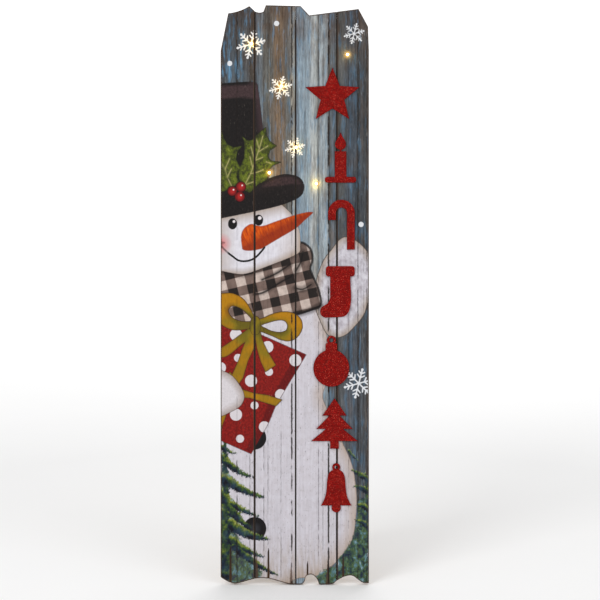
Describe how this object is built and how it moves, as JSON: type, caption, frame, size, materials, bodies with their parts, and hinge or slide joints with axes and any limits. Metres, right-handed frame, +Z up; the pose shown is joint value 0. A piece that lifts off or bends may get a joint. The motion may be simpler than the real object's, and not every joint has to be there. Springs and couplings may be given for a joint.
{
  "type": "lighted plank porch sign with snowman",
  "caption": "Tall plank sign with a printed snowman, raised glitter cut-outs, small battery lights and a folding strut that stands it up.",
  "frame": {"origin": "on the ground, in the middle of the area between the foot of the printed front and the strut's heel", "axes": "+Z up, +X to the right of the printed front, -Y towards whoever looks at the printed front; the board leans back 7.5 degrees"},
  "size_m": [0.256, 0.1928, 0.9926],
  "materials": {
    "plank_board": "raw fibreboard edge and back, satin",
    "printed_face": "printed and worn, matte",
    "red_glitter": "coarse glitter coat",
    "batten_wood": "raw pine, matte",
    "zinc_steel": "zinc plated",
    "hinge_brass": "brass plated",
    "clear_bulb": "clear, warm light",
    "holder_plastic": "moulded",
    "wire_green": "insulated wire",
    "box_plastic": "fine moulded texture",
    "foam": "foam tape",
    "circuit_board": "solder mask",
    "nickel_steel": "nickel plated",
    "slider_plastic": "moulded",
    "cell_sleeve": "shrink sleeve"
  },
  "bodies": {
    "sign": {"batten_leaf": "hinge_brass", "batten_leaf_screws": "zinc_steel", "batten_screws": "zinc_steel", "battery_case": "box_plastic", "battery_left": "cell_sleeve", "battery_right": "cell_sleeve", "bulb_1": "clear_bulb", "bulb_2": "clear_bulb", "bulb_3": "clear_bulb", "bulb_4": "clear_bulb", "bulb_5": "clear_bulb", "bulb_6": "clear_bulb", "bulb_holders": "holder_plastic", "contact_plates": "nickel_steel", "contact_springs": "nickel_steel", "cutout_bauble": "red_glitter", "cutout_bell": "red_glitter", "cutout_candle": "red_glitter", "cutout_cane": "red_glitter", "cutout_star": "red_glitter", "cutout_stocking": "red_glitter", "cutout_tree": "red_glitter", "foam_pad": "foam", "hanger": "zinc_steel", "hanger_nails": "zinc_steel", "hinge_batten": "batten_wood", "hinge_pin": "hinge_brass", "light_wire": "wire_green", "low_batten": "batten_wood", "plank_1": "plank_board", "plank_2": "plank_board", "plank_3": "plank_board", "plank_4": "plank_board", "print_1": "printed_face", "print_2": "printed_face", "print_3": "printed_face", "print_4": "printed_face", "switch_can": "nickel_steel", "switch_panel": "box_plastic", "timer_board": "circuit_board", "top_batten": "batten_wood", "wire_staples": "zinc_steel"},
    "strut": {"strut": "batten_wood", "strut_leaf": "hinge_brass", "strut_leaf_screws": "zinc_steel"},
    "cover": {"battery_cover": "box_plastic"},
    "slider": {"switch_slider": "slider_plastic"}
  },
  "joints": [
    {"name": "strut_hinge", "type": "hinge", "parent": "sign", "child": "strut", "pos_m": [0, 0.00557, 0.59295], "axis": [-1, 0, 0], "range_deg": [0, 15]},
    {"name": "cover_slide", "type": "slide", "parent": "sign", "child": "cover", "axis": [0, -0.1305, -0.9914], "range_m": [0, 0.056]},
    {"name": "switch_slide", "type": "slide", "parent": "sign", "child": "slider", "axis": [1, 0, 0], "range_m": [0, 0.005]}
  ]
}
